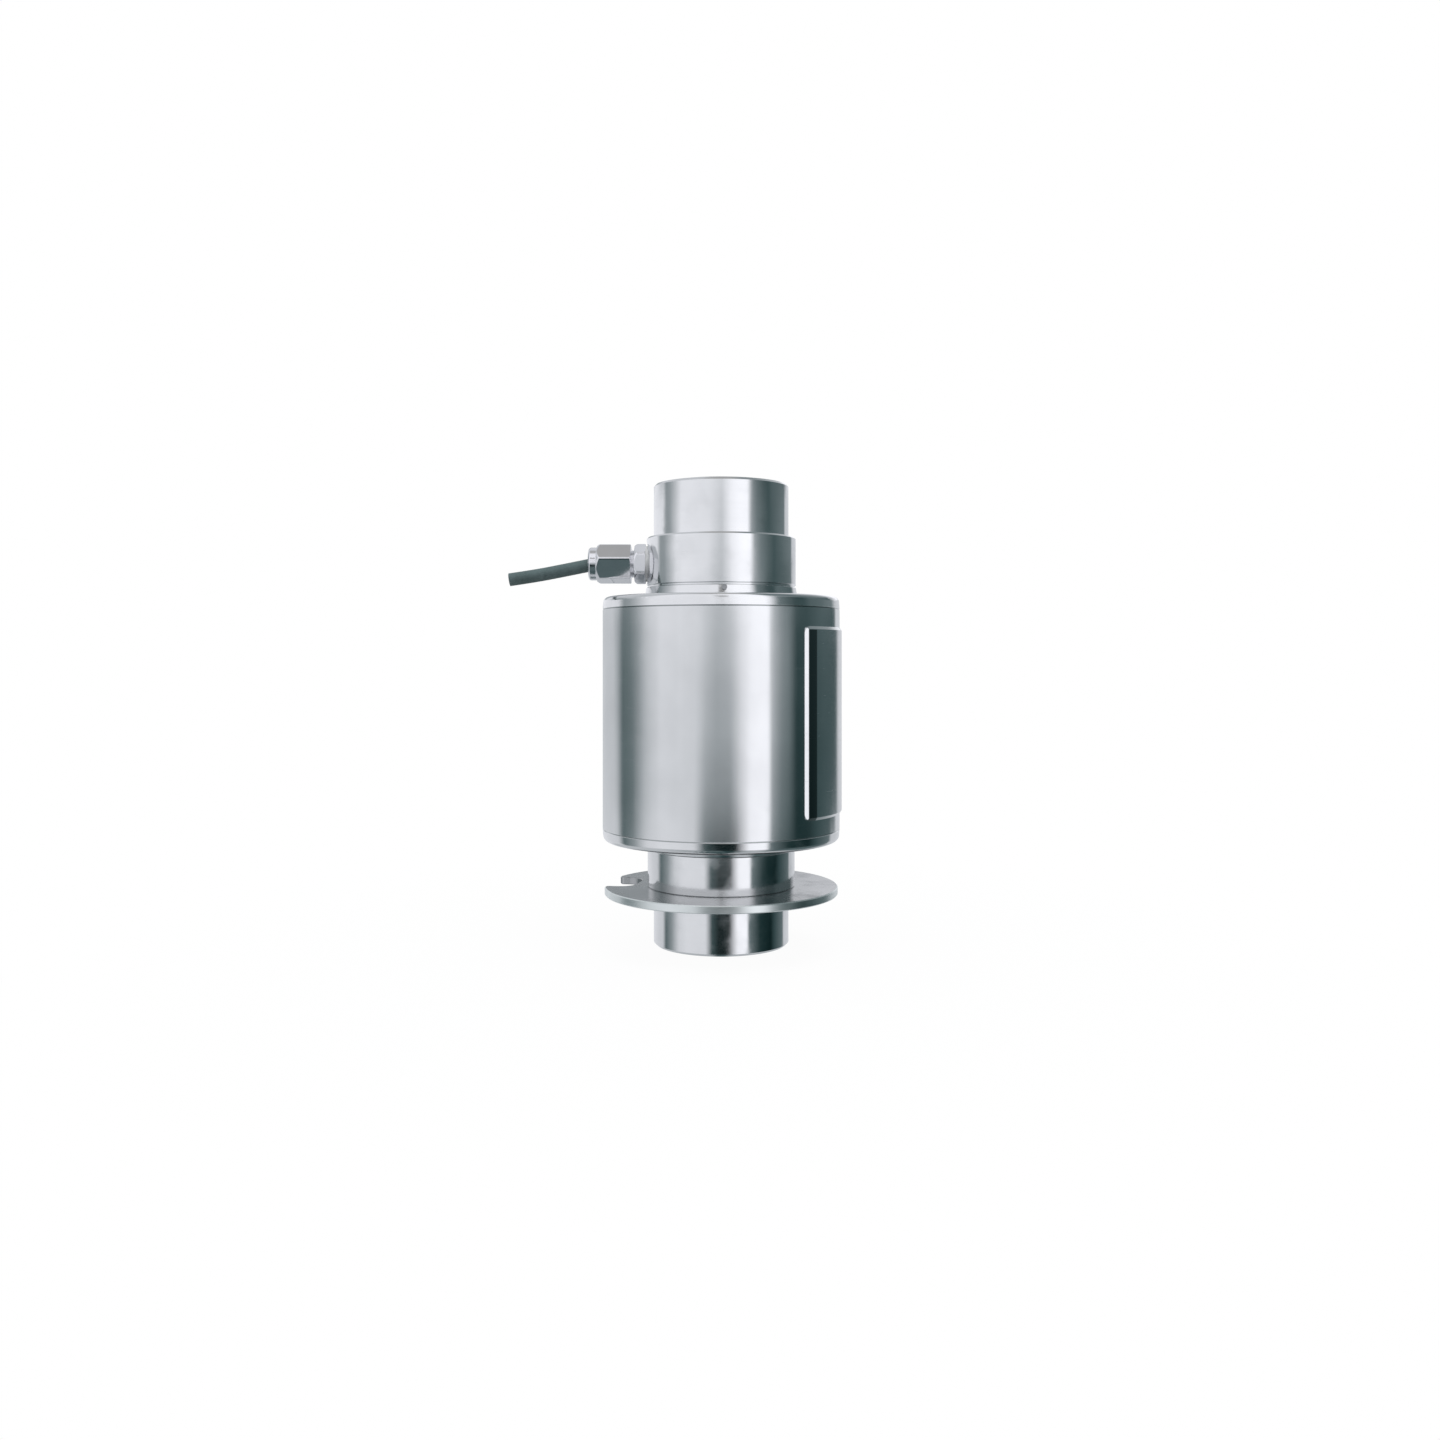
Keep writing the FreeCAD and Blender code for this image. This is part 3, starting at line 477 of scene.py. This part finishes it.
# studio: light panels and dark boards stand round the object. Each row is one height range, its
# boards are (azimuth in degrees from the camera's side towards the right, grey level), and the
# rows meet at the elevations given in "seams"
studioValues = {
    "rows": {
        "under": [
            (-168, 0.08), (-150, 0.42), (-48, 0.45), (-27, 0.09), (12, 0.05), (30, 0.35),
            (60, 0.42), (150, 0.42), (168, 0.08),
        ],
        "floorLevel": [
            (-170, 0.42), (-70, 0.45), (-32, 0.33), (-20, 0.11), (-4, 0.11), (0, 0.05),
            (12, 0.04), (26, 0.35), (42, 0.4), (56, 0.1), (120, 0.1), (150, 0.4),
        ],
        "low": [
            (-150, 0.60), (-117, 0.54), (-108, 0.11), (-92, 0.26), (-76, 0.58), (-60, 0.65),
            (-26, 0.65), (-16, 0.06), (-4, 0.008), (14, 0.008), (27, 0.85), (44, 0.89),
            (48, 0.14), (68, 0.026), (93, 0.012), (102, 0.052), (124, 0.13), (128, 0.13),
            (133, 0.50), (170, 0.54),
        ],
        "middleLow": [
            (-178, 0.12), (-169, 0.48), (-124, 0.50), (-118, 0.43), (-109, 0.11), (-93, 0.13),
            (-77, 0.39), (-60, 0.56), (-25, 0.53), (-15, 0.29), (8, 0.24), (17, 0.52),
            (28, 0.83), (46, 0.89), (48.5, 0.29), (58, 0.15), (67, 0.115), (76, 0.024),
            (110, 0.06), (140, 0.08), (146, 0.52), (169, 0.52), (178, 0.12),
        ],
        "middleHigh": [
            (-178, 0.12), (-169, 0.46), (-128, 0.47), (-119, 0.33), (-109, 0.13), (-98, 0.155),
            (-86, 0.24), (-74, 0.46), (-60, 0.63), (-20, 0.58), (-4, 0.40), (12, 0.51),
            (20, 0.73), (30, 0.87), (45, 0.91), (48, 0.50), (60, 0.265), (67, 0.205),
            (76, 0.045), (112, 0.085), (132, 0.07), (141, 0.08), (146, 0.54), (169, 0.52),
            (178, 0.12),
        ],
        "top": [
            (-155, 0.70), (-116, 0.69), (-107, 0.28), (-97, 0.29), (-84, 0.50), (-72, 0.74),
            (-20, 0.69), (1, 0.50), (16, 0.82), (30, 0.92), (45, 0.93), (52, 0.30),
            (63, 0.17), (88, 0.08), (126, 0.16), (135, 0.17), (140, 0.50), (170, 0.54),
        ],
        "crown": [
            (-177, 0.22), (-160, 0.32), (-150, 0.64), (-140, 0.61), (-125, 0.24), (-108, 0.20),
            (-88, 0.42), (-71, 0.72), (1, 0.73), (20, 0.91), (43, 0.89), (48, 0.68),
            (56, 0.15), (76, 0.04), (86, 0.05), (96, 0.12), (137, 0.10), (150, 0.60),
            (161, 0.84), (174, 0.76),
        ],
        "high": [
            (-174, 0.54), (-130, 0.5), (-95, 0.45), (-70, 0.74), (1, 0.74), (20, 0.90), (45, 0.88),
            (60, 0.22), (96, 0.12), (135, 0.25), (165, 0.56),
        ],
    },
    "seams": [
        (-58.0, -46.0), (-27.0, -20.0), (-7.9, -7.4), (-7.0, 1.6), (2.4, 3.2), (7.2, 8.6),
        (18.0, 30.0),
    ],
    "ceiling": (70.0, 82.0),
    "ceilingLevel": 0.33,
    "darkSpots": [  # azimuth, elevation, reach in degrees, level
        (1.0, 20.0, 6.0, 0.2), (0.0, 37.0, 7.5, 0.2),
    ],
    "strength": 1.36,
    "coolness": 0.066,  # how much red the grey boards lose, the dark ones by the largest share
    "blueness": 1.05,
}


def makeRow(tree, place, boards, values):
    ramp = put(tree, "ShaderNodeValToRGB", {}, {0: place})
    stops = ramp.color_ramp.elements
    back = (boards[0][1] + boards[-1][1]) / 2
    wrap = [(-180, back), *boards, (180, back)]
    for i, (azimuth, level) in enumerate(wrap):
        where = (azimuth + 180.0) / 360.0
        stop = stops[i] if i < 2 else stops.new(where)
        stop.position = where
        cooler = values["coolness"] * (1 - level) ** 2 * level / (level + 0.08)
        stop.color = (level - cooler, level, level * values["blueness"], 1.0)
    return ramp.outputs[0]


def lightStudio(values):
    world = bpy.data.worlds.new("studio")
    scene.world = world
    world.use_nodes = True
    tree = world.node_tree
    tree.nodes.clear()
    way = put(tree, "ShaderNodeTexCoord").outputs["Generated"]
    split = put(tree, "ShaderNodeSeparateXYZ", {}, {0: way})
    towards = calc(tree, "MULTIPLY", split.outputs["Y"], -1.0)
    turn = calc(tree, "ARCTAN2", split.outputs["X"], towards)
    place = remap(tree, turn, -math.pi, math.pi, 0.0, 1.0)
    rows = [makeRow(tree, place, boards, values) for boards in values["rows"].values()]
    room, above = rows[0], rows[1:] + [grey(values["ceilingLevel"])]
    for row, seam in zip(above, values["seams"] + [values["ceiling"]]):
        low, high = [math.sin(math.radians(a)) for a in seam]
        room = mixColours(tree, remap(tree, split.outputs["Z"], low, high, 0.0, 1.0), room, row)
    for azimuth, elevation, reach, level in values["darkSpots"]:
        side, up = math.radians(azimuth), math.radians(elevation)
        aim = (math.sin(side) * math.cos(up), -math.cos(side) * math.cos(up), math.sin(up))
        facing = put(tree, "ShaderNodeVectorMath", {"operation": "DOT_PRODUCT"}, {0: way, 1: aim})
        edge = math.cos(math.radians(reach))
        full = (1 + 2 * edge) / 3  # a third of the way from the spot's edge to its middle
        near = remap(tree, facing.outputs["Value"], edge, full, 0.0, 1.0)
        room = mixColours(tree, near, room, grey(level))
    roomLight = put(tree, "ShaderNodeBackground", {}, {
        "Color": room, "Strength": values["strength"],
    })
    white = put(tree, "ShaderNodeBackground", {}, {"Color": grey(1.0), "Strength": 1.0})
    isCamera = put(tree, "ShaderNodeLightPath").outputs["Is Camera Ray"]
    both = put(tree, "ShaderNodeMixShader", {}, {
        0: isCamera, 1: roomLight.outputs[0], 2: white.outputs[0],
    })
    put(tree, "ShaderNodeOutputWorld", {}, {0: both.outputs[0]})


# floor: pale, with the object's soft shadow; mirror rays pass it and meet the studio. From the
# camera it is mostly white, and fully white past the distance "whiteAt"
floorValues = {
    "size": 6.0, "colour": 0.62, "whiteShare": 0.965, "whiteFrom": 0.10, "whiteAt": 0.28,
}


def makeFloor(values):
    half = values["size"] / 2
    corners = np.array([(-half, -half, 0), (half, -half, 0), (half, half, 0), (-half, half, 0)])
    data = bpy.data.meshes.new("floor")
    data.from_pydata(corners.tolist(), [], [(0, 1, 2, 3)])
    floor = bpy.data.objects.new("floor", data)
    scene.collection.objects.link(floor)
    material = bpy.data.materials.new("paleFloor")
    material.use_nodes = True
    tree = material.node_tree
    tree.nodes.clear()
    paint = put(tree, "ShaderNodeBsdfDiffuse", {}, {"Color": grey(values["colour"])})
    glow = put(tree, "ShaderNodeEmission", {}, {"Color": grey(1.0), "Strength": 1.0})
    isCamera = put(tree, "ShaderNodeLightPath").outputs["Is Camera Ray"]
    ground = put(tree, "ShaderNodeTexCoord").outputs["Object"]
    away = put(tree, "ShaderNodeVectorMath", {"operation": "LENGTH"}, {0: ground}).outputs["Value"]
    start, end = values["whiteFrom"], values["whiteAt"]
    whiter = remap(tree, away, start, end, values["whiteShare"], 1.0)
    share = calc(tree, "MULTIPLY", isCamera, whiter)
    both = put(tree, "ShaderNodeMixShader", {}, {0: share, 1: paint.outputs[0], 2: glow.outputs[0]})
    put(tree, "ShaderNodeOutputMaterial", {}, {0: both.outputs[0]})
    data.materials.append(material)
    floor.visible_glossy = False


lampValues = {"place": (0.1, -0.25, 1.3), "size": 1.1, "power": 17.0}


def hangLamp(values):
    data = bpy.data.lights.new("overheadPanel", "AREA")
    data.shape = "SQUARE"
    data.size = values["size"]
    data.energy = values["power"]
    lamp = bpy.data.objects.new("overheadPanel", data)
    lamp.location = values["place"]
    lamp.visible_glossy = False
    scene.collection.objects.link(lamp)


lightStudio(studioValues)
makeFloor(floorValues)
hangLamp(lampValues)
scene.view_settings.view_transform = "Standard"
print("studio lit")
